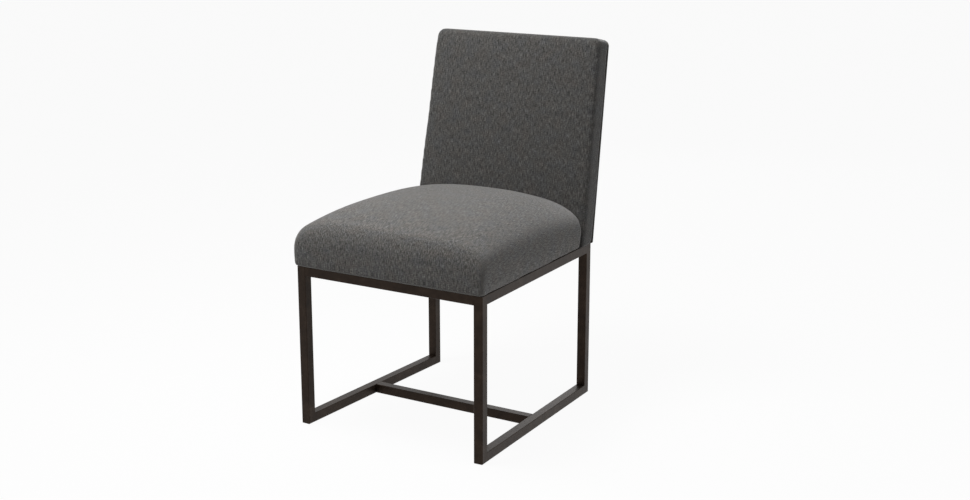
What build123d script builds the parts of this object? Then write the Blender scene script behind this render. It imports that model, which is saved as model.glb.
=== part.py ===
"""Upholstered dining chair on a welded sled base of square steel tube.

Millimetres, +Z up. The chair faces -Y, left is -X and right is +X. The origin is the middle
of the floor stretcher's underside. The base narrows towards the rear, and the back leans
away from the seat and narrows towards its top.
"""

import math
import os

from build123d import *

os.makedirs("parts", exist_ok=True)

# Steel base
front_width = 480.0  # outside of the front legs
rear_width = 444.0  # outside of the rear legs
base_depth = 520.0  # front of the front legs to rear of the rear legs
base_height = 370.0  # floor to the top of the seat rails
tube = 21.5  # side of the square tube
tube_wall = 1.5
tube_corner = 1.5  # outside corner radius of the tube
tab_leg = 55.0  # how far a mounting tab runs along each rail
tab_tip = 10.0  # width of a tab's cut-off tips
tab_thickness = 3.0
tab_hole_inset = 22.0  # tab hole from the inside faces of both rails

# Soft layers
fabric = 1.2
layer_gap = 0.3  # clearance between two layers
dust_cloth = 0.6
webbing = 1.5
strap_width = 50.0
strap_setback = 4.0  # strap end from the wooden frame's outer edge
hem = 30.0  # width of fabric turned under and stapled

# Seat
seat_rail_setback = 7.0  # wooden frame inside the base's outline
seat_rail_thickness = 22.0
seat_rail_height = 45.0
seat_rail_round = 7.0  # rounding along the front rail's top edge
corner_block_leg = 50.0
corner_block_height = 30.0
seat_strap_count = 4  # each way
dust_cloth_setback = 8.0  # inside the wooden frame's outer edge
seat_overhang = 7.0  # cushion beyond the base, at its widest
seat_tuck = 3.5  # how far the cushion's sides pull in at their foot
widest_height = 25.0  # level of the widest place above the base
crown_height = 143.0  # top of the crown above the base
front_fall = 42.0  # how far the crown has dropped at the front
rear_fall = 26.0  # how far it has dropped at the back
lip_height = 60.0  # upright front face above the base
nose_depth = 32.0  # depth of the rounding above the front face
front_corner = 8.0  # plan radius of the front corners
front_squareness = 4.95  # exponent of the cushion's cross-section at the front
rear_squareness = 2.75  # the same at the back
squareness_fade = 4  # how soon the one turns into the other, behind the front

# Back
rake = 11.0  # lean from upright, in degrees
back_setback = 65.0  # front face of the back, at its foot, ahead of the base's rear
back_height = 485.0  # along the lean
back_foot_width = 468.0
back_top_width = 442.0
back_top_rise = 2.0  # how far the top edge arches
back_corner = 16.0  # top corners, seen from the front
back_roll = 8.0  # rounding round the front face
back_foam_thickness = 28.0
stile_width = 28.0
stile_thickness = 22.0
back_padding = 12.0  # wooden frame inside the back's outline
cross_rail_height = 40.0
lower_rail_height = 45.0
middle_rail_up = 140.0  # underside of the middle rail, along the lean
back_strap_count = 4
stiffener = 2.0
outside_back_setback = 3.0  # outside back panel inside the back's outline

# Fasteners
screw_radius = 3.0
screw_length = 35.0
screw_head_radius = 8.5
screw_head_height = 3.0
bolt_radius = 4.0
bolt_head_radius = 7.5
bolt_head_height = 5.3
bolt_flange_radius = 10.5
bolt_flange = 1.4
bolt_spacing = 115.0
bolt_count = 3
nut_flange_radius = 10.0
nut_flange = 1.6
nut_barrel_radius = 5.0
nut_barrel_length = 9.0
hole_clearance = 0.2  # hole beyond the shank, on the radius

# Worked out from the values above
taper_run = (front_width - rear_width) / 2
side_length = math.hypot(base_depth, taper_run)
side_secant = side_length / base_depth
back_foot = base_depth / 2 - back_setback
cushion_base = base_height + layer_gap + dust_cloth + layer_gap
wood_base = cushion_base + fabric + layer_gap
seat_wood_top = wood_base + seat_rail_height
seat_front = -base_depth / 2 - seat_overhang
soft_depth = fabric + layer_gap + back_foam_thickness + layer_gap + webbing + layer_gap
back_thickness = soft_depth + stile_thickness + layer_gap + fabric


def half_width(y, inset=0.0):
    """Half the base's outside width at depth y, less an inset square to its side."""
    return (front_width + rear_width) / 4 - y * taper_run / base_depth - inset * side_secant


def seat_corners(front_y, rear_y, inset):
    """Plan corners of a piece that runs between the sides of the base."""
    return (
        (-half_width(front_y, inset), front_y),
        (half_width(front_y, inset), front_y),
        (half_width(rear_y, inset), rear_y),
        (-half_width(rear_y, inset), rear_y),
    )


def save(node, name):
    """Label one finished piece and write it under its name."""
    node.part.label = name
    export_step(node.part, f"parts/{name}.step")


# Raked plane of the back's front face: X across the chair, Y up the back, Z forwards
lean = math.radians(rake)
back_plane = Plane(
    origin=(0, back_foot, base_height),
    x_dir=(1, 0, 0),
    z_dir=(0, -math.cos(lean), math.sin(lean)),
)


def back_plane_y(z, forward=0.0):
    """Depth at level z of the plane that lies a distance forward of the back's face."""
    return back_foot + (z - base_height) * math.tan(lean) - forward / math.cos(lean)


# Side frames: each is a closed rectangle of four mitred tubes
def mitred_tube(outer_face, length):
    """Square tube along the plane's X, its outer face at Y = 0 and both ends mitred."""
    with BuildPart() as bar:
        with BuildSketch(outer_face.offset(-tube / 2)):
            with BuildLine():
                Polyline(
                    (-length / 2, 0),
                    (length / 2, 0),
                    (length / 2 - tube, tube),
                    (tube - length / 2, tube),
                    close=True,
                )
            make_face()
        extrude(amount=tube)
        long_edges = bar.edges().filter_by(Axis((0, 0, 0), outer_face.x_dir))
        fillet(long_edges, tube_corner)
        with BuildSketch(outer_face.offset(tube_wall - tube / 2)):
            with Locations((0, tube / 2)):
                Rectangle(length, tube - 2 * tube_wall)
        extrude(amount=tube - 2 * tube_wall, mode=Mode.SUBTRACT)
    return bar


def tube_centre(y):
    """Half the distance between the centre planes of the side frames at depth y."""
    return half_width(y, tube / 2)


for side, hand in (("left", -1), ("right", 1)):
    rearwards = Vector(-hand * taper_run, base_depth, 0)
    across = Vector(base_depth, hand * taper_run, 0)
    floor_middle = (hand * tube_centre(0), 0, 0)
    top_middle = (hand * tube_centre(0), 0, base_height)
    front_middle = (hand * tube_centre(-base_depth / 2), -base_depth / 2, base_height / 2)
    rear_middle = (hand * tube_centre(base_depth / 2), base_depth / 2, base_height / 2)
    floor_face = Plane(origin=floor_middle, x_dir=rearwards, z_dir=across)
    top_face = Plane(origin=top_middle, x_dir=-rearwards, z_dir=across)
    front_face = Plane(origin=front_middle, x_dir=(0, 0, -1), z_dir=across)
    rear_face = Plane(origin=rear_middle, x_dir=(0, 0, 1), z_dir=across)
    save(mitred_tube(floor_face, side_length), f"{side}_floor_rail")
    save(mitred_tube(top_face, side_length), f"{side}_seat_rail")
    save(mitred_tube(front_face, base_height), f"front_{side}_leg")
    save(mitred_tube(rear_face, base_height), f"rear_{side}_leg")


# Cross tubes: cut to the taper and butted between the side frames
def cross_tube(front_y, underside):
    """Square tube from one side frame's inside face to the other's."""
    rear_y = front_y + tube
    with BuildPart() as bar:
        with BuildSketch(Plane.XY.offset(underside)):
            with BuildLine():
                Polyline(*seat_corners(front_y, rear_y, tube), close=True)
            make_face()
        extrude(amount=tube)
        fillet(bar.edges().filter_by(Axis.X), tube_corner)
        with BuildSketch(Plane.XY.offset(underside + tube_wall)):
            with Locations((0, front_y + tube / 2)):
                Rectangle(front_width, tube - 2 * tube_wall)
        extrude(amount=tube - 2 * tube_wall, mode=Mode.SUBTRACT)
    return bar


save(cross_tube(-base_depth / 2, base_height - tube), "front_seat_rail")
save(cross_tube(base_depth / 2 - tube, base_height - tube), "rear_seat_rail")
save(cross_tube(-tube / 2, 0), "floor_stretcher")

# Mounting tabs: cut plates welded into the corners of the seat rails, just below their tops
tab_top = base_height - tube_corner
screw_points = []
for end_name, end in (("front", -1), ("rear", 1)):
    corner_y = end * (base_depth / 2 - tube)
    tip_y = corner_y - end * tab_leg
    for side, hand in (("left", -1), ("right", 1)):
        corner_x = half_width(corner_y, tube)
        tip_x = half_width(tip_y, tube)
        hole = (hand * (corner_x - tab_hole_inset), corner_y - end * tab_hole_inset)
        screw_points.append(hole)
        with BuildPart() as tab:
            with BuildSketch(Plane.XY.offset(tab_top - tab_thickness)):
                with BuildLine():
                    Polyline(
                        (hand * corner_x, corner_y),
                        (hand * (corner_x - tab_leg), corner_y),
                        (hand * (corner_x - tab_leg), corner_y - end * tab_tip),
                        (hand * (tip_x - tab_tip), tip_y),
                        (hand * tip_x, tip_y),
                        close=True,
                    )
                make_face()
                with Locations(hole):
                    Circle(screw_radius + hole_clearance, mode=Mode.SUBTRACT)
            extrude(amount=tab_thickness)
        save(tab, f"{end_name}_{side}_mounting_tab")

# Seat screws: wide-headed, up through the tabs into the wood
screw_seat = tab_top - tab_thickness
with BuildPart() as seat_screws:
    with BuildSketch(Plane.XY.offset(screw_seat - screw_head_height)):
        with Locations(*screw_points):
            Circle(screw_head_radius)
    extrude(amount=screw_head_height)
    with BuildSketch(Plane.XY.offset(screw_seat)):
        with Locations(*screw_points):
            Circle(screw_radius)
    extrude(amount=screw_length)
save(seat_screws, "seat_screws")


# Seat frame of hardwood rails
seat_rail_inner = seat_rail_setback + seat_rail_thickness
wood_front = -base_depth / 2 + seat_rail_setback
past_back = back_foot + back_thickness  # far enough behind the back's face to be trimmed
joint_layers = layer_gap + fabric + layer_gap  # seat cover between the seat frame and the back
seat_rear_plane = back_plane.offset(joint_layers)
rear_rail_front = back_plane.offset(joint_layers + seat_rail_thickness)

with BuildPart() as seat_front_wood:
    with BuildSketch(Plane.XY.offset(wood_base)):
        with BuildLine():
            rail_corners = seat_corners(
                wood_front, wood_front + seat_rail_thickness, seat_rail_setback
            )
            Polyline(*rail_corners, close=True)
        make_face()
    extrude(amount=seat_rail_height)
    top_edges = seat_front_wood.edges().filter_by(Axis.X).group_by(Axis.Z)[-1]
    fillet(top_edges.sort_by(Axis.Y)[0], seat_rail_round)
save(seat_front_wood, "seat_front_wood_rail")

for side, hand in (("left", -1), ("right", 1)):
    side_front = wood_front + seat_rail_thickness
    with BuildPart() as side_wood:
        with BuildSketch(Plane.XY.offset(wood_base)):
            with BuildLine():
                Polyline(
                    (hand * half_width(side_front, seat_rail_setback), side_front),
                    (hand * half_width(past_back, seat_rail_setback), past_back),
                    (hand * half_width(past_back, seat_rail_inner), past_back),
                    (hand * half_width(side_front, seat_rail_inner), side_front),
                    close=True,
                )
            make_face()
        extrude(amount=seat_rail_height)
        split(bisect_by=seat_rear_plane, keep=Keep.TOP)
    save(side_wood, f"seat_{side}_wood_rail")

# The bolts that join the back to the seat stand square to the raked plane
bolt_up = (seat_rail_height / 2 + wood_base - base_height) / math.cos(lean)
bolt_places = [
    ((n - (bolt_count - 1) / 2) * bolt_spacing, bolt_up) for n in range(bolt_count)
]

with BuildPart() as seat_rear_wood:
    with BuildSketch(Plane.XY.offset(wood_base)):
        with BuildLine():
            Polyline(*seat_corners(0, past_back, seat_rail_inner), close=True)
        make_face()
    extrude(amount=seat_rail_height)
    split(bisect_by=seat_rear_plane, keep=Keep.TOP)
    split(bisect_by=rear_rail_front, keep=Keep.BOTTOM)
    with BuildSketch(seat_rear_plane):
        with Locations(*bolt_places):
            Circle(bolt_radius + hole_clearance)
    extrude(amount=seat_rail_thickness, mode=Mode.SUBTRACT)
save(seat_rear_wood, "seat_rear_wood_rail")

# Corner blocks: triangular, glued into the seat frame; the front seat screws enter them
block_rear = back_plane_y(wood_base + corner_block_height, joint_layers + seat_rail_thickness)
for end_name, end, corner_y in (
    ("front", -1, wood_front + seat_rail_thickness),
    ("rear", 1, block_rear),
):
    tip_y = corner_y - end * corner_block_leg
    corner_x = half_width(corner_y, seat_rail_inner)
    tip_x = half_width(tip_y, seat_rail_inner)
    for side, hand in (("left", -1), ("right", 1)):
        with BuildPart() as corner_block:
            with BuildSketch(Plane.XY.offset(wood_base)):
                with BuildLine():
                    Polyline(
                        (hand * corner_x, corner_y),
                        (hand * (corner_x - corner_block_leg), corner_y),
                        (hand * tip_x, tip_y),
                        close=True,
                    )
                make_face()
                with Locations(*screw_points):
                    Circle(screw_radius + hole_clearance, mode=Mode.SUBTRACT)
            extrude(amount=corner_block_height)
            split(bisect_by=rear_rail_front, keep=Keep.TOP)
        save(corner_block, f"{end_name}_{side}_corner_block")

# Seat webbing: straps stapled on top of the rails, the crosswise ones over the lengthwise
length_strap_base = seat_wood_top + layer_gap
cross_strap_base = length_strap_base + webbing + layer_gap
foam_base = cross_strap_base + webbing + layer_gap
strap_front = wood_front + strap_setback
strap_rear = back_plane_y(length_strap_base, joint_layers) - strap_setback
strap_run = strap_rear - strap_front
strap_pitch = 2 * half_width(strap_rear, seat_rail_inner) / seat_strap_count

with BuildPart() as lengthwise_webbing:
    with BuildSketch(Plane.XY.offset(length_strap_base)):
        with Locations((0, (strap_front + strap_rear) / 2)):
            with GridLocations(strap_pitch, 0, seat_strap_count, 1):
                Rectangle(strap_width, strap_run)
    extrude(amount=webbing)
save(lengthwise_webbing, "seat_lengthwise_webbing")

with BuildPart() as crosswise_webbing:
    with BuildSketch(Plane.XY.offset(cross_strap_base)):
        for n in range(seat_strap_count):
            strap_y = strap_front + strap_run * (n + 0.5) / seat_strap_count
            strap_half = half_width(strap_y + strap_width / 2, seat_rail_setback + strap_setback)
            with Locations((0, strap_y)):
                Rectangle(2 * strap_half, strap_width)
    extrude(amount=webbing)
save(crosswise_webbing, "seat_crosswise_webbing")

# Dust cloth: stapled under the seat frame, held between it and the base
dust_edge = seat_rail_setback + dust_cloth_setback
dust_corners = seat_corners(
    -base_depth / 2 + dust_edge, back_foot - joint_layers - dust_cloth_setback, dust_edge
)
with BuildPart() as dust_cover:
    with BuildSketch(Plane.XY.offset(base_height + layer_gap)):
        with BuildLine():
            Polyline(*dust_corners, close=True)
        make_face()
        with Locations(*screw_points):
            Circle(screw_radius + hole_clearance, mode=Mode.SUBTRACT)
    extrude(amount=dust_cloth)
save(dust_cover, "seat_dust_cover")


# Seat cushion: a crowned form ruled from section to section, with pulled-in sides and a round
# nose. The sections stand at even angles round the nose and at even steps over the crown, and
# a section's points draw together towards the turn from its side to its top.
NOSE_STEPS = 8
CROWN_STEPS = 9
SIDE_STEPS = 9
SIDE_CROWDING = 1.65


def arch(share):
    """Height of a quarter circle of radius 1 at a share of its depth."""
    clear = 1 - min(max(share, 0.0), 1.0)
    return math.sqrt(1 - clear**2)


def seat_section(y, inset):
    """Half-round outline of the cushion, or a layer an inset inside it, at depth y."""
    depth = y - seat_front - inset
    fall = front_fall * (y / seat_front) ** 2 if y < 0 else rear_fall * (y / back_foot) ** 2
    crest = base_height + crown_height - fall - inset
    lip = base_height + lip_height - inset
    top = lip + (crest - lip) * arch(depth / (nose_depth - inset))
    corner = front_corner - inset
    half = half_width(y, inset - seat_overhang) - corner * (1 - arch(depth / corner))
    to_back = 1 - min((y - seat_front) / (back_foot - seat_front), 1.0)
    squareness = rear_squareness + (front_squareness - rear_squareness) * to_back**squareness_fade
    widest = base_height + widest_height
    right = [(half - seat_tuck, base_height)]
    for n in range(SIDE_STEPS):
        turn = math.pi / 2 * (n / SIDE_STEPS) ** SIDE_CROWDING
        x = half * math.cos(turn) ** (2 / squareness)
        right.append((x, widest + (top - widest) * math.sin(turn) ** (2 / squareness)))
    left = [(-x, z) for x, z in reversed(right)]
    return [*right, (0, top), *left]


def seat_form(inset):
    """The cushion, or a layer an inset inside it, trimmed level and by the back's raked face."""
    nose_rear = seat_front + nose_depth
    stations = []
    for n in range(NOSE_STEPS):
        turn = math.radians(90 * n / NOSE_STEPS)
        stations.append(nose_rear - (nose_depth - inset) * math.cos(turn))
    for n in range(CROWN_STEPS + 1):
        stations.append(nose_rear + (past_back - nose_rear) * n / CROWN_STEPS)
    with BuildPart() as form:
        for y in stations:
            with BuildSketch(Plane.XZ.offset(-y)):
                with BuildLine():
                    Polyline(*seat_section(y, inset), close=True)
                make_face()
        loft(ruled=True)
        split(bisect_by=Plane.XY.offset(cushion_base + inset), keep=Keep.TOP)
        split(bisect_by=back_plane.offset(layer_gap + inset), keep=Keep.TOP)
    return form.part


seat_outside = seat_form(0)
seat_inside = seat_form(fabric)
foam_outside = seat_form(fabric + layer_gap)

hem_rear = back_plane_y(cushion_base, layer_gap) - hem
with BuildPart() as seat_cover:
    add(seat_outside)
    add(seat_inside, mode=Mode.SUBTRACT)
    with BuildSketch(Plane.XY.offset(cushion_base)):
        with BuildLine():
            Polyline(*seat_corners(seat_front + hem, hem_rear, hem - seat_overhang), close=True)
        make_face()
    extrude(amount=fabric, mode=Mode.SUBTRACT)
    with BuildSketch(back_plane.offset(layer_gap)):
        with Locations(*bolt_places):
            Circle(bolt_radius + hole_clearance)
    extrude(amount=fabric, mode=Mode.SUBTRACT)
save(seat_cover, "seat_cover")

foam_pocket = seat_corners(wood_front - layer_gap, past_back, seat_rail_setback - layer_gap)
with BuildPart() as seat_foam:
    add(foam_outside)
    with BuildSketch(Plane.XY.offset(cushion_base)):
        with BuildLine():
            Polyline(*foam_pocket, close=True)
        make_face()
    extrude(amount=foam_base - cushion_base, mode=Mode.SUBTRACT)
save(seat_foam, "seat_foam")


# Back: everything in it lies in layers parallel to the raked plane
def back_half(up, inset=0.0):
    """Half the back's width at a height up the lean, less an inset."""
    return (back_foot_width + (back_top_width - back_foot_width) * up / back_height) / 2 - inset


below_base = -back_thickness  # the back's solids start here and are trimmed level
frame_front = back_plane.offset(-soft_depth)
frame_top = back_height - back_padding
lower_rail_up = (wood_base + lower_rail_height - base_height) / math.cos(lean)
rail_front_depth = fabric + layer_gap
lower_rail_depth = soft_depth + stile_thickness - rail_front_depth


def back_slab(inset, depth, thickness, trim_level, roll=0.0):
    """Slab in the back's outline less an inset, a depth behind its face, rolled in front."""
    top = back_height - inset
    foot_x = back_half(below_base, inset)
    top_x = back_half(top, inset)
    with BuildPart() as slab:
        with BuildSketch(back_plane.offset(-depth)) as outline:
            with BuildLine():
                Polyline((-top_x, top), (-foot_x, below_base), (foot_x, below_base), (top_x, top))
                ThreePointArc((top_x, top), (0, top + back_top_rise), (-top_x, top))
            make_face()
            fillet(outline.vertices().group_by(Axis.Y)[-1], back_corner - inset)
        extrude(amount=-thickness)
        if roll > 0:
            front = slab.faces().sort_by(Axis((0, 0, 0), back_plane.z_dir))[-1]
            fillet(front.edges().sort_by(Axis.Z)[1:], roll)
        split(bisect_by=Plane.XY.offset(trim_level), keep=Keep.TOP)
    return slab


def back_form(inset):
    """The upholstered back, or a layer an inset inside it."""
    thickness = back_thickness - 2 * inset
    return back_slab(inset, inset, thickness, cushion_base + inset, back_roll - inset)


def frame_bar(corners, front_plane, thickness):
    """Flat wooden bar between corners on a raked plane, cut level with the seat frame."""
    with BuildPart() as bar:
        with BuildSketch(front_plane):
            with BuildLine():
                Polyline(*corners, close=True)
            make_face()
        extrude(amount=-thickness)
        split(bisect_by=Plane.XY.offset(wood_base), keep=Keep.TOP)
    return bar


stile_inset = back_padding + stile_width
for side, hand in (("left", -1), ("right", 1)):
    stile_corners = (
        (hand * back_half(below_base, back_padding), below_base),
        (hand * back_half(frame_top, back_padding), frame_top),
        (hand * back_half(frame_top, stile_inset), frame_top),
        (hand * back_half(below_base, stile_inset), below_base),
    )
    save(frame_bar(stile_corners, frame_front, stile_thickness), f"back_{side}_stile")


def between_stiles(low, high):
    """Corners of a rail that fits between the stiles."""
    return (
        (-back_half(low, stile_inset), low),
        (back_half(low, stile_inset), low),
        (back_half(high, stile_inset), high),
        (-back_half(high, stile_inset), high),
    )


top_corners = between_stiles(frame_top - cross_rail_height, frame_top)
save(frame_bar(top_corners, frame_front, stile_thickness), "back_top_rail")
middle_corners = between_stiles(middle_rail_up, middle_rail_up + cross_rail_height)
save(frame_bar(middle_corners, frame_front, stile_thickness), "back_middle_rail")

lower_rail_face = back_plane.offset(-rail_front_depth)
lower_bar = frame_bar(between_stiles(below_base, lower_rail_up), lower_rail_face, lower_rail_depth)
lower_rear = back_plane.offset(-rail_front_depth - lower_rail_depth)
with BuildPart() as back_lower_rail:
    add(lower_bar.part)
    with BuildSketch(lower_rail_face):
        with Locations(*bolt_places):
            Circle(nut_barrel_radius + hole_clearance)
    extrude(amount=-lower_rail_depth, mode=Mode.SUBTRACT)
    with BuildSketch(lower_rear):
        with Locations(*bolt_places):
            Circle(nut_flange_radius + hole_clearance)
    extrude(amount=nut_flange, mode=Mode.SUBTRACT)
    with BuildSketch(Plane.XY.offset(wood_base)):
        with Locations(*screw_points):
            Circle(screw_radius + hole_clearance)
    extrude(amount=screw_length, mode=Mode.SUBTRACT)
save(back_lower_rail, "back_lower_rail")

# Back bolts: flanged, from inside the seat frame into tee nuts behind the lower rail
flange_face = rear_rail_front.offset(bolt_flange)
bolt_reach = seat_rail_thickness + joint_layers + rail_front_depth + lower_rail_depth - nut_flange
with BuildPart() as back_bolts:
    with BuildSketch(rear_rail_front):
        with Locations(*bolt_places):
            Circle(bolt_flange_radius)
    extrude(amount=bolt_flange)
    with BuildSketch(flange_face):
        with Locations(*bolt_places):
            RegularPolygon(bolt_head_radius, 6)
    extrude(amount=bolt_head_height)
    with BuildSketch(rear_rail_front):
        with Locations(*bolt_places):
            Circle(bolt_radius)
    extrude(amount=-bolt_reach)
save(back_bolts, "back_bolts")

with BuildPart() as back_tee_nuts:
    with BuildSketch(lower_rear):
        with Locations(*bolt_places):
            Circle(nut_flange_radius)
            Circle(bolt_radius + hole_clearance / 2, mode=Mode.SUBTRACT)
    extrude(amount=nut_flange)
    with BuildSketch(lower_rear.offset(nut_flange)):
        with Locations(*bolt_places):
            Circle(nut_barrel_radius)
            Circle(bolt_radius + hole_clearance / 2, mode=Mode.SUBTRACT)
    extrude(amount=nut_barrel_length)
save(back_tee_nuts, "back_tee_nuts")

# Back webbing: straps across the front of the stiles
strap_low = lower_rail_up
strap_high = frame_top - cross_rail_height
with BuildPart() as back_webbing:
    with BuildSketch(frame_front.offset(layer_gap)):
        for n in range(back_strap_count):
            strap_up = strap_low + (strap_high - strap_low) * (n + 0.5) / back_strap_count
            strap_half = back_half(strap_up + strap_width / 2, back_padding + strap_setback)
            with Locations((0, strap_up)):
                Rectangle(2 * strap_half, strap_width)
    extrude(amount=webbing)
save(back_webbing, "back_webbing")

# Back cover: a fabric shell, open behind inside its hem and pierced by the bolts and screws
back_outside = back_form(0).part
back_inside = back_form(fabric).part
back_foam_form = back_form(fabric + layer_gap).part

hem_low = (cushion_base - base_height) / math.cos(lean) + hem
hem_top = back_height - hem
with BuildPart() as back_cover:
    add(back_outside)
    add(back_inside, mode=Mode.SUBTRACT)
    with BuildSketch(back_plane.offset(-back_thickness)):
        with BuildLine():
            Polyline(
                (-back_half(hem_low, hem), hem_low),
                (back_half(hem_low, hem), hem_low),
                (back_half(hem_top, hem), hem_top),
                (-back_half(hem_top, hem), hem_top),
                close=True,
            )
        make_face()
    extrude(amount=fabric, mode=Mode.SUBTRACT)
    with BuildSketch(back_plane):
        with Locations(*bolt_places):
            Circle(bolt_radius + hole_clearance)
    extrude(amount=-fabric, mode=Mode.SUBTRACT)
    with BuildSketch(Plane.XY.offset(cushion_base)):
        with Locations(*screw_points):
            Circle(screw_radius + hole_clearance)
    extrude(amount=fabric, mode=Mode.SUBTRACT)
save(back_cover, "back_cover")

# Back foam: a pad in front of the frame, wrapped over its sides and top
pocket_top = frame_top + layer_gap
pocket_side = back_padding - layer_gap
with BuildPart() as back_foam:
    add(back_foam_form)
    with BuildSketch(back_plane.offset(-fabric - layer_gap - back_foam_thickness)):
        with BuildLine():
            Polyline(
                (-back_half(below_base, pocket_side), below_base),
                (back_half(below_base, pocket_side), below_base),
                (back_half(pocket_top, pocket_side), pocket_top),
                (-back_half(pocket_top, pocket_side), pocket_top),
                close=True,
            )
        make_face()
    extrude(amount=-back_thickness, mode=Mode.SUBTRACT)
    with BuildSketch(back_plane):
        with BuildLine():
            Polyline(
                (-back_foot_width, below_base),
                (back_foot_width, below_base),
                (back_foot_width, lower_rail_up + layer_gap),
                (-back_foot_width, lower_rail_up + layer_gap),
                close=True,
            )
        make_face()
    extrude(amount=-back_thickness, mode=Mode.SUBTRACT)
save(back_foam, "back_foam")

# Outside back: a fibreboard stiffener and the fabric panel drawn over it
stiffener_depth = back_thickness + layer_gap
stiffener_inset = outside_back_setback + fabric
save(back_slab(stiffener_inset, stiffener_depth, stiffener, wood_base), "outside_back_stiffener")
panel_depth = stiffener_depth + stiffener + layer_gap
save(back_slab(outside_back_setback, panel_depth, fabric, cushion_base), "outside_back_panel")
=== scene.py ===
import math
import random

import bmesh
import bpy
import numpy as np
from mathutils import Matrix, Vector
from mathutils.bvhtree import BVHTree


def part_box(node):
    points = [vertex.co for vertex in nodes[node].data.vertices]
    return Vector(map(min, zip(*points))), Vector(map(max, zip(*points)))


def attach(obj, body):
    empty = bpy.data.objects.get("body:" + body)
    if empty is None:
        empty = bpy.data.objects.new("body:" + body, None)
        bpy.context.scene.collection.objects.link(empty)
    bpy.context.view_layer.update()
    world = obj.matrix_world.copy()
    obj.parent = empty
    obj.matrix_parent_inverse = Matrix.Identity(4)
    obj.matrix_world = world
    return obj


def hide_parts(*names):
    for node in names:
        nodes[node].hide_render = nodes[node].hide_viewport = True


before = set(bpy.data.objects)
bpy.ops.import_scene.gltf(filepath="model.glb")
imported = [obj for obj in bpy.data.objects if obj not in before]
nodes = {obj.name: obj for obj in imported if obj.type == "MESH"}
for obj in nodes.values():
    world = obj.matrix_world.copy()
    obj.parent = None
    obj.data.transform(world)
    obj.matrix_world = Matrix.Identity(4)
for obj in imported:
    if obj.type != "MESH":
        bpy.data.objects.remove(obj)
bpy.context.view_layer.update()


# Camera
# A three-quarter view from the front right, at chest height and looking down a little. The lens
# is a short telephoto, with no shift and no depth of field.
looks_down = 14.5592
turned_round = 31.1791
camera_data = bpy.data.cameras.new("camera")
camera_data.sensor_width = 36
camera_data.lens = 54.88
camera = bpy.data.objects.new("camera", camera_data)
camera.location = (1.7517, -2.7477, 1.2261)
camera.rotation_euler = (math.radians(90 - looks_down), 0, math.radians(turned_round))
bpy.context.collection.objects.link(camera)
bpy.context.scene.camera = camera


# Studio light and floor
# A soft box overhead does most of the work, with weaker ones at the right, the front and the
# rear and a dim room. Floor and room are seen almost white, and the floor keeps a faint shadow.
def soft_box(name, place, target, size, power):
    """A rectangular lamp that shines from a place towards a target."""
    data = bpy.data.lights.new(name, "AREA")
    data.shape = "RECTANGLE"
    data.size, data.size_y = size
    data.energy = power
    lamp = bpy.data.objects.new(name, data)
    lamp.location = place
    lamp.visible_camera = False
    aim = Vector(target) - Vector(place)
    lamp.rotation_euler = aim.to_track_quat("-Z", "Y").to_euler()
    bpy.context.collection.objects.link(lamp)


soft_box("overhead", (-0.38, -0.42, 1.95), (-0.05, 0, 0.45), (0.8, 0.8), 34)
soft_box("right_fill", (2.6, 0.6, 1.1), (0, 0, 0.4), (1.4, 1.6), 17)
soft_box("front_fill", (-1.3, -2.7, 0.4), (0, 0, 0.45), (1.6, 0.6), 4.5)
soft_box("rear_fill", (-0.9, 3.0, 1.5), (0, 0.2, 0.6), (1.6, 1.6), 9)
bpy.context.scene.view_settings.view_transform = "Standard"


def add_node(tree, kind, settings=None, inputs=None):
    """A shader node with its settings and input values; an input may be another node's socket."""
    made = tree.nodes.new(kind)
    for key, value in (settings or {}).items():
        setattr(made, key, value)
    for key, value in (inputs or {}).items():
        if isinstance(value, bpy.types.NodeSocket):
            tree.links.new(value, made.inputs[key])
        else:
            made.inputs[key].default_value = value
    return made


def shown_to(tree):
    """1 for rays from the camera, from a reflection or through glass, and 0 for other light."""
    path = add_node(tree, "ShaderNodeLightPath")
    either = add_node(
        tree, "ShaderNodeMath", {"operation": "MAXIMUM"},
        {0: path.outputs["Is Camera Ray"], 1: path.outputs["Is Glossy Ray"]},
    )
    return add_node(
        tree, "ShaderNodeMath", {"operation": "MAXIMUM"},
        {0: either.outputs[0], 1: path.outputs["Is Transmission Ray"]},
    ).outputs[0]


def blend(tree, share, first, second):
    """Mixes two shaders by a share of the second."""
    shaders = {0: share, 1: first.outputs[0], 2: second.outputs[0]}
    return add_node(tree, "ShaderNodeMixShader", inputs=shaders).outputs[0]


white = (1, 1, 1, 1)
room_light_strength = 0.08
world = bpy.data.worlds.new("room")
bpy.context.scene.world = world
world.use_nodes = True
world_tree = world.node_tree
world_tree.nodes.clear()
dim = {"Color": white, "Strength": room_light_strength}
bright = {"Color": white, "Strength": 1.0}
room_light = add_node(world_tree, "ShaderNodeBackground", inputs=dim)
room_white = add_node(world_tree, "ShaderNodeBackground", inputs=bright)
room_mix = blend(world_tree, shown_to(world_tree), room_light, room_white)
add_node(world_tree, "ShaderNodeOutputWorld", inputs={"Surface": room_mix})

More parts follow.
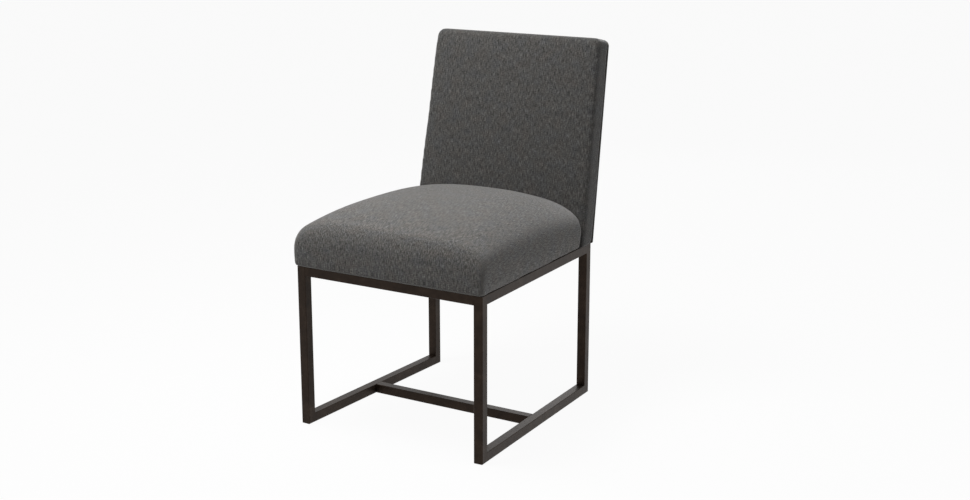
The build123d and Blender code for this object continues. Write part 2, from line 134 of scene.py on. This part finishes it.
floor_reach = 30
floor_grey = (0.8, 0.8, 0.8, 1)
floor_white_share = 0.95
floor_form = bmesh.new()
bmesh.ops.create_grid(floor_form, x_segments=4, y_segments=4, size=floor_reach)
floor_mesh = bpy.data.meshes.new("floor")
floor_form.to_mesh(floor_mesh)
floor_form.free()
floor = bpy.data.objects.new("floor", floor_mesh)
bpy.context.collection.objects.link(floor)
floor_look = bpy.data.materials.new("floor")
floor_look.use_nodes = True
floor_tree = floor_look.node_tree
floor_tree.nodes.clear()
floor_paint = add_node(floor_tree, "ShaderNodeBsdfDiffuse", inputs={"Color": floor_grey})
floor_glow = add_node(floor_tree, "ShaderNodeEmission", inputs=bright)
floor_seen = {0: shown_to(floor_tree), 1: floor_white_share}
floor_share = add_node(floor_tree, "ShaderNodeMath", {"operation": "MULTIPLY"}, floor_seen)
floor_mix = blend(floor_tree, floor_share.outputs[0], floor_paint, floor_glow)
add_node(floor_tree, "ShaderNodeOutputMaterial", inputs={"Surface": floor_mix})
floor_mesh.materials.append(floor_look)


# Steel base
# Square steel tube, mitred, welded and ground flush, with plate tabs in the corners under the
# seat. It has a satin dark bronze powder coat, faintly mottled and brushed along the tubes.
def coated(name, colour, roughness):
    """A new material, its tree and its main shader."""
    made = bpy.data.materials.new(name)
    made.use_nodes = True
    shader = made.node_tree.nodes["Principled BSDF"]
    shader.inputs["Base Color"].default_value = (*colour, 1)
    shader.inputs["Roughness"].default_value = roughness
    return made, made.node_tree, shader


def object_place(tree):
    """The place of a point in the chair's own frame."""
    return add_node(tree, "ShaderNodeTexCoord").outputs["Object"]


def noise(tree, place, scale, detail, rough, stretch=(1, 1, 1)):
    """Noise over a place, stretched along its axes."""
    mapped = add_node(tree, "ShaderNodeMapping", inputs={"Vector": place, "Scale": stretch})
    return add_node(
        tree, "ShaderNodeTexNoise", None,
        {"Vector": mapped.outputs[0], "Scale": scale, "Detail": detail, "Roughness": rough},
    ).outputs["Fac"]


def ramp(tree, value, stops):
    """Colour ramp over a value, from pairs of a place on the ramp and its colour."""
    made = add_node(tree, "ShaderNodeValToRGB", inputs={"Fac": value})
    band = made.color_ramp
    while len(band.elements) < len(stops):
        band.elements.new(0.5)
    for element, (place, colour) in zip(band.elements, stops):
        element.position = place
        element.color = (*colour, 1)
    return made.outputs["Color"]


def grey(value):
    """A neutral colour."""
    return (value, value, value)


def emboss(tree, shader, height, strength, distance):
    """Tilts the surface's shading by a height."""
    relief = {"Strength": strength, "Distance": distance, "Height": height}
    bump = add_node(tree, "ShaderNodeBump", None, relief)
    tree.links.new(bump.outputs[0], shader.inputs["Normal"])


bronze_dark = (0.0135, 0.008, 0.005)
bronze_middle = (0.0225, 0.0138, 0.0087)
bronze_light = (0.035, 0.0232, 0.0155)
bronze, tree, shader = coated("bronze_coat", bronze_middle, 0.4)
place = object_place(tree)
mottle = noise(tree, place, 38, 5, 0.65)
bronze_tones = ramp(tree, mottle, ((0.3, bronze_dark), (0.55, bronze_middle), (0.75, bronze_light)))
tree.links.new(bronze_tones, shader.inputs["Base Color"])
shader.inputs["Metallic"].default_value = 0.65
shader.inputs["Specular IOR Level"].default_value = 0.25
brushed = noise(tree, place, 60, 3, 0.7, (14, 14, 0.6))
bronze_gloss = ramp(tree, brushed, ((0.3, grey(0.34)), (0.7, grey(0.52))))
tree.links.new(bronze_gloss, shader.inputs["Roughness"])
emboss(tree, shader, noise(tree, place, 900, 2, 0.5), 0.12, 0.0002)


def dress(names, look):
    """Gives pieces of the chair's frame their material."""
    for name in names:
        for material_slot in nodes[name].material_slots:
            material_slot.material = look


steel = [name for name in nodes if name.startswith(("front_", "rear_", "left_", "right_"))]
dress([name for name in steel if "block" not in name] + ["floor_stretcher"], bronze)


# Wooden frames and webbing
# Seat and back are each built on rails of sawn hardwood, with blocks glued in the seat's corners.
# Woven straps span the rails, and a thin pressed board stiffens the outside of the back.
wood, tree, shader = coated("hardwood", (0.42, 0.27, 0.14), 0.7)
growth_rings = noise(tree, object_place(tree), 9, 4, 0.6, (8, 1, 8))
wood_tones = ramp(tree, growth_rings, ((0.3, (0.30, 0.18, 0.09)), (0.7, (0.50, 0.34, 0.19))))
tree.links.new(wood_tones, shader.inputs["Base Color"])
back_rails = ["back_top_rail", "back_middle_rail", "back_lower_rail"]
timber_words = ("wood_rail", "corner_block", "stile")
dress([name for name in nodes if any(word in name for word in timber_words)] + back_rails, wood)

board, tree, shader = coated("pressed_board", (0.25, 0.17, 0.09), 0.8)
flecks = noise(tree, object_place(tree), 240, 3, 0.7)
board_tones = ramp(tree, flecks, ((0.35, (0.19, 0.13, 0.07)), (0.65, (0.31, 0.22, 0.13))))
tree.links.new(board_tones, shader.inputs["Base Color"])
dress(["outside_back_stiffener"], board)

strap, tree, shader = coated("webbing", (0.03, 0.028, 0.025), 0.8)
cords = noise(tree, object_place(tree), 500, 2, 0.5)
strap_tones = ramp(tree, cords, ((0.35, grey(0.015)), (0.65, grey(0.05))))
tree.links.new(strap_tones, shader.inputs["Base Color"])
dress(["seat_lengthwise_webbing", "seat_crosswise_webbing", "back_webbing"], strap)


# Screws and bolts
# Zinc-plated steel. Wood screws come up through the tabs of the base into the corner blocks, and
# flanged bolts in tee nuts draw the foot of the back against the seat's rear rail.
zinc, tree, shader = coated("zinc_plate", (0.62, 0.62, 0.63), 0.3)
shader.inputs["Metallic"].default_value = 1.0
spangle = noise(tree, object_place(tree), 300, 3, 0.6)
zinc_gloss = ramp(tree, spangle, ((0.35, grey(0.25)), (0.65, grey(0.42))))
tree.links.new(zinc_gloss, shader.inputs["Roughness"])
dress([name for name in nodes if "screw" in name or "bolt" in name or "nuts" in name], zinc)


# Seat cushion
# Foam on a webbed hardwood frame under a drawn cloth cover: crowned, with a low round nose, sides
# that pull in at the foot and soft front corners. It narrows to the raked back and meets it flat.
lean = math.radians(11)
seat_low, seat_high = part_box("seat_cover")
front_y = seat_low.y
crown_z = seat_high.z
widest_x = seat_high.x
base_top = 0.370
foot_z = 0.3704
foot_y = 0.195
side_taper = 0.0346

seat_run_end = 0.222
front_drop = 0.0435
front_drop_power = 2.3
rear_drop = 0.026
lip_height = 0.051
nose_depth = 0.023
nose_squareness = 2.2
front_corner = 0.008
rear_squareness = 2.75
front_squareness_gain = 2.2
squareness_fade = 4
widest_height = 0.025
foot_tuck = 0.0035
back_clearance = 0.0008


def arch(share, squareness=2.0):
    """Height of a rounded edge of size 1 at a share of its depth; 2 is a quarter circle."""
    clear = 1 - min(max(share, 0.0), 1.0)
    return (1 - clear**squareness) ** (1 / squareness)


def crown_fall(nominal):
    """How far the crown has dropped, to the front or to the rear of the seat's middle."""
    if nominal < 0:
        return front_drop * (nominal / front_y) ** front_drop_power
    return rear_drop * (nominal / foot_y) ** 2


def seat_ring(along, steps=48):
    """Closed outline of the cushion at a share of the way from its front to its rear."""
    nominal = front_y + along * (seat_run_end - front_y)
    depth = nominal - front_y
    crest = crown_z - crown_fall(nominal)
    lip = base_top + lip_height
    top = lip + (crest - lip) * arch(depth / nose_depth, nose_squareness)
    half = widest_x - depth * side_taper - front_corner * (1 - arch(depth / front_corner))
    squareness = rear_squareness + front_squareness_gain * (1 - along) ** squareness_fade
    widest = base_top + widest_height
    points = [(half - foot_tuck, foot_z)]
    for n in range(steps + 1):
        angle = math.pi * n / steps
        cosine, sine = math.cos(angle), math.sin(angle)
        x = math.copysign(half * abs(cosine) ** (2 / squareness), cosine)
        points.append((x, widest + (top - widest) * abs(sine) ** (2 / squareness)))
    points.append((foot_tuck - half, foot_z))
    ring = []
    for x, z in points:
        rear = foot_y + (z - base_top) * math.tan(lean) - back_clearance
        ring.append((x, front_y + (rear - front_y) * along, z))
    return ring


def as_piece(name, form):
    """Smooth-shaded object made from a bmesh."""
    mesh = bpy.data.meshes.new(name)
    form.to_mesh(mesh)
    form.free()
    for polygon in mesh.polygons:
        polygon.use_smooth = True
    piece = bpy.data.objects.new(name, mesh)
    bpy.context.collection.objects.link(piece)
    return piece


def skin(name, rings):
    """Closed form over rings of points: a grid laid along them, its seam welded, its ends closed."""
    form = bmesh.new()
    bmesh.ops.create_grid(form, x_segments=len(rings[0]), y_segments=len(rings) - 1, size=1)
    places = [place for ring in rings for place in ring + ring[:1]]
    for vertex, place in zip(form.verts, places, strict=True):
        vertex.co = place
    bmesh.ops.remove_doubles(form, verts=form.verts, dist=0.00001)
    bmesh.ops.holes_fill(form, edges=form.edges)
    bmesh.ops.recalc_face_normals(form, faces=form.faces)
    return as_piece(name, form)


def freeze(piece):
    """Applies every modifier."""
    bpy.context.view_layer.update()
    graph = bpy.context.evaluated_depsgraph_get()
    mesh = bpy.data.meshes.new_from_object(piece.evaluated_get(graph), depsgraph=graph)
    piece.modifiers.clear()
    piece.data = mesh


def smoothed(piece):
    """Eases a piece's surface by two light rounds of smoothing."""
    ease = piece.modifiers.new("ease", "SMOOTH")
    ease.factor = 0.5
    ease.iterations = 2
    freeze(piece)


def evened(mesh, values, rounds=30):
    """A value at each vertex, averaged over its neighbours again and again."""
    edges = np.empty(len(mesh.edges) * 2, dtype=int)
    mesh.edges.foreach_get("vertices", edges)
    first, second = edges.reshape(-1, 2).T
    neighbours = np.bincount(edges, minlength=len(values))
    for _ in range(rounds):
        there = np.bincount(first, values[second], len(values))
        values = (there + np.bincount(second, values[first], len(values))) / neighbours
    return values


def inflated(piece, held, pressure=4.0, frames=20):
    """Runs the cover as cloth, blown up from inside and pinned where it is held."""
    pins = piece.vertex_groups.new(name="pins")
    pins.add([vertex.index for vertex in piece.data.vertices if held(vertex.co)], 1.0, "REPLACE")
    cover = piece.modifiers.new("cloth", "CLOTH")
    cover.settings.quality = 5
    cover.settings.mass = 0.3
    cover.settings.tension_stiffness = 30
    cover.settings.compression_stiffness = 30
    cover.settings.shear_stiffness = 8
    cover.settings.bending_stiffness = 0.6
    cover.settings.use_pressure = True
    cover.settings.uniform_pressure_force = pressure
    cover.settings.vertex_group_mass = "pins"
    cover.settings.effector_weights.gravity = 0
    cover.collision_settings.use_collision = False
    cover.point_cache.frame_start = 1
    cover.point_cache.frame_end = frames
    for step in range(1, frames + 1):
        bpy.context.scene.frame_set(step)
    freeze(piece)
    bpy.context.scene.frame_set(1)


def swell(piece, held, reach):
    """Puffs a closed form out by a short cloth simulation, each point by at most a reach."""
    remesh = piece.modifiers.new("grid", "REMESH")
    remesh.mode = "VOXEL"
    remesh.voxel_size = 0.0054
    smoothed(piece)
    rest = [vertex.co.copy() for vertex in piece.data.vertices]
    outward = [vertex.normal.copy() for vertex in piece.data.vertices]
    inflated(piece, held)
    moved = zip(piece.data.vertices, rest, outward)
    swollen = np.array([(vertex.co - start).dot(normal) for vertex, start, normal in moved])
    swollen = evened(piece.data, np.clip(swollen, 0.0, reach))
    for vertex, start, normal, height in zip(piece.data.vertices, rest, outward, swollen):
        vertex.co = start + normal * height
    for polygon in piece.data.polygons:
        polygon.use_smooth = True
    smoothed(piece)
    subdivision = piece.modifiers.new("subdivision", "SUBSURF")
    subdivision.levels = subdivision.render_levels = 1


nose_end = 0.11
nose_rows = 12
seat_rows = 40
shares = [nose_end * (1 - math.cos(math.pi / 2 * n / nose_rows)) for n in range(nose_rows)]
shares += [nose_end + (1 - nose_end) * n / seat_rows for n in range(seat_rows + 1)]
seat = skin("seat_cushion", [seat_ring(share) for share in shares])
held_foot = 0.010
seat_held_rear = 0.008
seat_swell = 0.002


def seat_held(p):
    """The cover is fixed along its foot and where it meets the back."""
    rear = foot_y + (p.z - base_top) * math.tan(lean)
    return p.z < foot_z + held_foot or p.y > rear - seat_held_rear


swell(seat, seat_held, seat_swell)
middle_setback = 0.015
cover_hem = 0.014
hollow_rise = 0.0016
dust_rear = foot_y + 0.006


def hollow_foot(piece):
    """Lifts the underside, inside a hem round its edge, clear of the dust cloth."""
    for vertex in piece.data.vertices:
        p = vertex.co
        across = widest_x - middle_setback - p.y * side_taper - cover_hem - abs(p.x)
        along = front_y + cover_hem < p.y < dust_rear + 0.004
        if p.z < foot_z + 0.003 and across > 0 and along:
            p.z = max(p.z, foot_z + hollow_rise)


hollow_foot(seat)


def lay_weave(piece, to_panel, top):
    """Writes the cloth's flat coordinates: across and along a panel, and on down its sides."""
    mesh = piece.data
    count = len(mesh.vertices)
    points = np.empty(count * 3)
    mesh.vertices.foreach_get("co", points)
    normals = np.empty(count * 3)
    mesh.vertices.foreach_get("normal", normals)
    turn = np.array(to_panel)
    local = points.reshape(-1, 3) @ turn[:3, :3].T + turn[:3, 3]
    facing = normals.reshape(-1, 3) @ turn[:3, :3].T
    drop = top - local[:, 2]
    flat = np.zeros((count, 3))
    for axis in (0, 1):
        flat[:, axis] = local[:, axis] + np.sign(facing[:, axis]) * drop * facing[:, axis] ** 2
    mesh.attributes.new("weave", "FLOAT_VECTOR", "POINT").data.foreach_set("vector", flat.ravel())


def cloth_material(name, lightness):
    """A plain weave of heathered yarns, dark grey with brown and blue threads, drawn over the
    cloth's own flat coordinates in metres."""
    made, tree, shader = coated(name, grey(0.1), 0.8)
    flat = add_node(tree, "ShaderNodeAttribute", {"attribute_name": "weave"}).outputs["Vector"]
    warp_streaks, weft_streaks = (640, 100, 1), (160, 640, 1)
    slub_streaks, cross_streaks = (560, 64, 1), (120, 560, 1)
    warp = noise(tree, flat, 1.0, 2, 0.5, warp_streaks)
    weft = noise(tree, flat, 1.0, 2, 0.5, weft_streaks)
    slub = noise(tree, flat, 1.0, 2, 0.5, slub_streaks)
    cross_slub = noise(tree, flat, 1.0, 2, 0.5, cross_streaks)
    dye = noise(tree, flat, 30, 3, 0.6)
    cloudy = noise(tree, flat, 22, 4, 0.6)

    def mix(a, b, share, kind="MIX"):
        """Mixes two colours by a share of the second."""
        settings = {"data_type": "RGBA", "blend_type": kind}
        return add_node(tree, "ShaderNodeMix", settings, {0: share, 6: a, 7: b}).outputs[2]

    def yarn(value, tint):
        """A yarn's colour at the cloth's lightness."""
        return tuple(lightness * value * c for c in tint)

    warp_colour = ramp(tree, warp, (
        (0.36, yarn(0.040, (1.08, 1.0, 0.92))),
        (0.5, yarn(0.11, (1.02, 1.0, 0.97))),
        (0.63, yarn(0.21, (1, 1, 1))),
    ))
    weft_colour = ramp(tree, weft, (
        (0.36, yarn(0.040, (0.95, 1.0, 1.04))),
        (0.5, yarn(0.11, (1.0, 1.0, 0.98))),
        (0.63, yarn(0.20, (1, 1, 1))),
    ))
    thick_and_thin = mix(
        ramp(tree, slub, ((0.36, grey(0.40)), (0.64, grey(1.70)))),
        ramp(tree, cross_slub, ((0.36, grey(0.62)), (0.64, grey(1.42)))),
        0.36,
    )
    spun = mix(mix(warp_colour, weft_colour, 0.5), thick_and_thin, 1.0, "MULTIPLY")
    hues = ramp(tree, dye, (
        (0.34, (1.06, 0.99, 0.93)),
        (0.5, (1.025, 1.0, 0.96)),
        (0.66, (0.99, 0.99, 1.0)),
    ))
    clouds = ramp(tree, cloudy, ((0.3, grey(0.95)), (0.7, grey(1.05))))
    dyed = mix(mix(spun, hues, 1.0, "MULTIPLY"), clouds, 1.0, "MULTIPLY")
    tree.links.new(dyed, shader.inputs["Base Color"])
    ribs_per_metre = 1400.0
    split_flat = add_node(tree, "ShaderNodeSeparateXYZ", inputs={0: flat})

    def calculated(operation, *values):
        """The result of a sum over sockets and numbers."""
        terms = dict(enumerate(values))
        return add_node(tree, "ShaderNodeMath", {"operation": operation}, terms).outputs[0]

    def ribs(socket):
        """The even ribs of the weave along one direction."""
        return calculated("SINE", calculated("MULTIPLY", socket, ribs_per_metre * math.pi))

    checks = calculated("MULTIPLY", ribs(split_flat.outputs[0]), ribs(split_flat.outputs[1]))
    fuzz = noise(tree, flat, 900, 3, 0.7)
    relief = calculated("MULTIPLY_ADD", slub, 1.2, calculated("MULTIPLY_ADD", checks, 0.35, fuzz))
    emboss(tree, shader, relief, 0.4, 0.0004)
    shader.inputs["Sheen Weight"].default_value = 0.4
    shader.inputs["Sheen Roughness"].default_value = 0.45
    shader.inputs["Specular IOR Level"].default_value = 0.12
    return made


cloth = cloth_material("upholstery_cloth", 0.91)
lay_weave(seat, Matrix.Identity(4), crown_z)
seat.data.materials.clear()
seat.data.materials.append(cloth)
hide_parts("seat_cover", "seat_foam")
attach(seat, "root")


# Seat corner folds
# At each front corner the cover's spare cloth is lapped into one short fold, tucked from the
# side over the front and pulled down under the frame, so it dies out a few centimetres up.
def lapped_fold(name, under, spot, lift, to_panel, top, look):
    """Flap of cloth that lies on a padded piece: spot and lift give a place and a height there."""
    bpy.context.view_layer.update()
    surface = BVHTree.FromObject(under, bpy.context.evaluated_depsgraph_get())
    form = bmesh.new()
    bmesh.ops.create_grid(form, x_segments=26, y_segments=22, size=0.5)
    for vertex in form.verts:
        u, v = vertex.co.x + 0.5, vertex.co.y + 0.5
        near, normal, _, _ = surface.find_nearest(spot(u, v))
        vertex.co = near + normal * lift(u, v)
    flap = as_piece(name, form)
    lay_weave(flap, to_panel, top)
    flap.data.materials.append(look)
    thicken(flap, 0.0006)
    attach(flap, "root")


def thicken(piece, thickness):
    """Gives a sheet of cloth its thickness, half to each side."""
    both_sides = piece.modifiers.new("thickness", "SOLIDIFY")
    both_sides.thickness = thickness
    both_sides.offset = 0


def fade(value):
    """Smooth step from 0 to 1."""
    value = min(max(value, 0.0), 1.0)
    return value * value * (3 - 2 * value)


def seat_fold(hand, name):
    """The fold at one front corner: along the front, round the corner and along the side."""
    front_run, round_run, side_run = 0.009, 0.013, 0.016
    height = 0.024

    def spot(u, v):
        along = u * (front_run + round_run + side_run)
        turn = min(max((along - front_run) / round_run, 0.0), 1.0) * math.pi / 2
        x = widest_x - front_corner * (1 - math.sin(turn)) + min(along - front_run, 0.0)
        y = front_y + front_corner * (1 - math.cos(turn)) + max(along - front_run - round_run, 0.0)
        return Vector((hand * x, y, foot_z + 0.0015 + v * height))

    def lift(u, v):
        lapped = fade(u / 0.07) * fade((1 - u) / 0.5) * fade((1 - v) / 0.75)
        return -0.0006 + 0.0009 * lapped

    lapped_fold(name, seat, spot, lift, Matrix.Identity(4), crown_z, cloth)


seat_fold(-1, "seat_fold_left")
seat_fold(1, "seat_fold_right")


# Back cushion
# A flat pad on the raked plane, rolled round its front edges and crisp at the rear ones, with
# rounded top corners and a top edge that rises a little in the middle.
up_axis = Vector((0, math.sin(lean), math.cos(lean)))
out_axis = Vector((0, -math.cos(lean), math.sin(lean)))
raked = Matrix.Identity(4)
for row, axis in enumerate((Vector((1, 0, 0)), up_axis, out_axis)):
    raked[row][:3] = axis
raked = raked @ Matrix.Translation((0, -foot_y, -base_top))
unraked = raked.inverted()
back_top = 0.485
back_depth = 0.0551
back_foot_width = 0.468
back_top_width = 0.442
back_corner = 0.016
back_top_rise = 0.002
back_foot_tuck = 0.004
back_tuck_height = 0.008


def back_half(up):
    """Half the back's width at a height up the lean."""
    return (back_foot_width + (back_top_width - back_foot_width) * up / back_top) / 2


def back_ring(out, inset, top_inset, side_steps=30, corner_steps=8):
    """Closed outline of the back at a distance out of its face, less an inset."""
    radius = max(back_corner - inset, 0.003)
    top = back_top - top_inset
    foot_up = (foot_z - base_top - out * math.sin(lean)) / math.cos(lean)
    side_run = top - radius - foot_up
    right = []
    for rise in (0.0, 0.001, 0.003, 0.006, *np.linspace(0.010, side_run, side_steps)[:-1]):
        tuck = back_foot_tuck * (1 - arch(rise / back_tuck_height))
        right.append((back_half(foot_up + rise) - inset - tuck, foot_up + rise))
    top_half = back_half(top) - inset
    for n in range(corner_steps + 1):
        angle = math.pi / 2 * n / corner_steps
        x = top_half - radius + radius * math.cos(angle)
        right.append((x, top - radius + radius * math.sin(angle)))
    ring = []
    for x, up in right + [(-x, up) for x, up in reversed(right)]:
        arched = back_top_rise * max(0.0, 1 - (x / top_half) ** 2) if up > top - 0.001 else 0.0
        ring.append(unraked @ Vector((x, up + arched, out)))
    return ring


front_roll = 0.014
side_pull = 0.25
rear_edge = 0.0025
rear_draw = 0.002
front_steps = 6
rear_steps = 3
back_rings = []
for n in range(front_steps + 1):
    turn = math.pi / 2 * n / front_steps
    pull = front_roll * (1 - math.sin(turn))
    back_rings.append(back_ring(front_roll * (math.cos(turn) - 1), side_pull * pull, pull))
for n in range(rear_steps + 1):
    turn = math.pi / 2 * n / rear_steps
    rounded = rear_edge * (1 - math.cos(turn))
    out = -back_depth + rear_edge * (1 - math.sin(turn))
    back_rings.append(back_ring(out, rear_draw + rounded, rounded))
back = skin("back_cushion", back_rings)
back_held_rear = 0.012
back_swell = 0.003


def back_held(p):
    """The cover is fixed along its foot and behind, where it is stapled to the frame."""
    return (raked @ p).z < -back_depth + back_held_rear or p.z < foot_z + held_foot


swell(back, back_held, back_swell)
hollow_foot(back)
lay_weave(back, raked, 0.0)
back.data.materials.clear()
# The back is covered in the seat's cloth, drawn at 0.46 lightness against the seat's 0.91. This
# painted shade stands for the weaker light that falls on the raked back. The back's corner folds and
# the outside panel use this darker cloth too.
back_shade_painted_cloth = cloth_material("back_upholstery_painted_shade", 0.46)
back.data.materials.append(back_shade_painted_cloth)
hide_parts("back_cover", "back_foam")
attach(back, "root")


# Back corner folds
# At each top corner the front's cloth is lapped over the side's, in a fold that runs from the
# rolled front edge to the rear along the top of the side.
def back_fold(hand, name):
    """The fold at one top corner: up the side, round the corner and along the top."""
    side_run, round_run, top_run = 0.009, back_corner * math.pi / 2, 0.012
    front_setback = 0.003

    def spot(u, v):
        along = u * (side_run + round_run + top_run)
        turn = min(max((along - side_run) / round_run, 0.0), 1.0) * math.pi / 2
        past_corner = max(along - side_run - round_run, 0.0)
        x = back_half(back_top) - back_corner * (1 - math.cos(turn)) - past_corner
        up = back_top - back_corner * (1 - math.sin(turn)) + min(along - side_run, 0.0)
        return unraked @ Vector((hand * x, up, -front_setback - v * (back_depth - front_setback)))

    def lift(u, v):
        lapped = fade(u / 0.06) * fade((0.8 - u) / 0.6) * fade(v / 0.25) * fade((1 - v) / 0.06)
        return -0.0007 + 0.0014 * lapped

    lapped_fold(name, back, spot, lift, raked, 0.0, back_shade_painted_cloth)


back_fold(-1, "back_fold_left")
back_fold(1, "back_fold_right")


# Outside back
# The cloth panel that closes the back: cut to the back's outline, drawn flat over its board and
# blind-tacked, with its raw edge turned under.
panel_setback = 0.0032
panel_low = 0.0125
panel_high = back_top - 0.001
low_corner = 0.004
high_corner = back_corner - 0.002
edge_turn = 0.0052
rim_turn = 0.0005
panel_off_back = 0.0029
panel_cuts = 20
form = bmesh.new()
outline = [
    form.verts.new((hand * (back_half(up) - panel_setback), up, 0))
    for hand, up in ((-1, panel_low), (1, panel_low), (1, panel_high), (-1, panel_high))
]
form.faces.new(outline)
for corners, radius in ((outline[:2], low_corner), (outline[2:], high_corner)):
    bmesh.ops.bevel(
        form, geom=corners, offset=radius, offset_type="OFFSET", affect="VERTICES",
        segments=8, profile=0.5, material=-1,
    )
form.normal_update()
for thickness in (0.0006, 0.0008, 0.003):
    middle = max(form.faces, key=lambda face: face.calc_area())
    bmesh.ops.inset_region(
        form, faces=[middle], thickness=thickness, use_boundary=True, use_even_offset=True,
    )
for n in range(1, panel_cuts):
    across_cut = back_half(0) * (2 * n / panel_cuts - 1)
    upward_cut = panel_high * n / panel_cuts
    for across, where in (((1, 0, 0), across_cut), ((0, 1, 0), upward_cut)):
        geometry = form.verts[:] + form.edges[:] + form.faces[:]
        bmesh.ops.bisect_plane(form, geom=geometry, plane_co=Vector(across) * where, plane_no=across)
edge = [vertex for vertex in form.verts if vertex.is_boundary]
rim = {other for vertex in edge for side in vertex.link_edges for other in side.verts} - set(edge)
bmesh.ops.translate(form, vec=(0, 0, edge_turn), verts=edge)
bmesh.ops.translate(form, vec=(0, 0, rim_turn), verts=list(rim))
bmesh.ops.translate(form, vec=(0, 0, -back_depth - panel_off_back), verts=form.verts)
bmesh.ops.transform(form, matrix=unraked, verts=form.verts)
bmesh.ops.reverse_faces(form, faces=form.faces)
panel = as_piece("outside_back", form)
lay_weave(panel, raked, -back_depth)
panel.data.materials.append(back_shade_painted_cloth)
thicken(panel, 0.0012)
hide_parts("outside_back_panel")
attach(panel, "root")


# Dust cloth
# A thin black non-woven cloth stapled under the seat frame. It hangs a little between the rails
# of the base, with faint creases that run in from its staples.
dust, tree, shader = coated("dust_cloth", grey(0.02), 0.95)
fibres = noise(tree, object_place(tree), 350, 4, 0.7)
dust_tones = ramp(tree, fibres, ((0.35, grey(0.012)), (0.65, grey(0.034))))
tree.links.new(dust_tones, shader.inputs["Base Color"])
emboss(tree, shader, fibres, 0.3, 0.0003)
dust_low, dust_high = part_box("seat_dust_cover")
dust_length = dust_rear - dust_low.y
dust_width = dust_high.x - dust_low.x
dust_off_rails = 0.0003
free_share = 0.955
sag = 0.0045
crease_depth = 0.0004


def dust_half(y):
    """Half the dust cloth's width at a place from front to rear."""
    return dust_width / 2 - (y - dust_low.y) * side_taper


form = bmesh.new()
bmesh.ops.create_grid(form, x_segments=70, y_segments=70, size=0.5)
for vertex in form.verts:
    across, along = vertex.co.x * 2, vertex.co.y * 2
    y = (dust_low.y + dust_rear) / 2 + along * dust_length / 2
    free_across = min(abs(across) / free_share, 1.0)
    free_along = min(abs(along) / free_share, 1.0)
    slack = (1 - free_across**2) * (1 - free_along**2)
    long_crease = math.sin(across * 19) * math.sin(along * 17)
    crease = long_crease + 0.6 * math.sin(across * 31 + along * 11)
    z = dust_low.z + dust_off_rails - slack * (sag + crease_depth * crease)
    vertex.co = (across * dust_half(y), y, z)
dust_sheet = as_piece("dust_sheet", form)
dust_sheet.data.materials.append(dust)
thicken(dust_sheet, 0.0005)
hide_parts("seat_dust_cover")
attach(dust_sheet, "root")


# Staples
# Fine wire staples hold the dust cloth to the wood, about every three centimetres, set by hand
# and so never quite in line.
staples_a_side = 14
staple_hem = 0.0105
front_line = dust_low.y + staple_hem
rear_line = dust_rear - 0.012
end_setback = 0.02
crown_length, wire_width, wire_height = 0.0095, 0.0011, 0.0007
wire_round = 0.0003
hand_turn = 0.12
hand_shift = 0.001
form = bmesh.new()
hand_set = random.Random(5)


def staple(x, y, turn):
    """One crown of wire, its corners rounded, pressed up into the cloth."""
    wobble = Matrix.Rotation(turn + hand_set.uniform(-hand_turn, hand_turn), 4, "Z")
    shifted = y + hand_set.uniform(-hand_shift, hand_shift)
    spot = Matrix.Translation((x, shifted, dust_low.z - 0.0001))
    shape = Matrix.Diagonal((crown_length, wire_width, wire_height, 1))
    made = bmesh.ops.create_cube(form, size=1, matrix=spot @ wobble @ shape)["verts"]
    short = {edge for vertex in made for edge in vertex.link_edges if edge.calc_length() < 0.002}
    bmesh.ops.bevel(
        form, geom=list(short), offset=wire_round, offset_type="OFFSET", affect="EDGES",
        segments=2, profile=0.5, material=-1,
    )


for n in range(staples_a_side):
    share = (n + 0.5) / staples_a_side * 2 - 1
    staple(share * (dust_half(front_line) - end_setback), front_line, 0)
    staple(share * (dust_half(rear_line) - end_setback), rear_line, 0)
    y = (front_line + rear_line) / 2 + share * (rear_line - front_line) / 2
    for hand in (-1, 1):
        staple(hand * (dust_half(y) - staple_hem), y, math.pi / 2 + hand * side_taper)
staples = as_piece("dust_cloth_staples", form)
staples.data.materials.append(zinc)
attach(staples, "root")
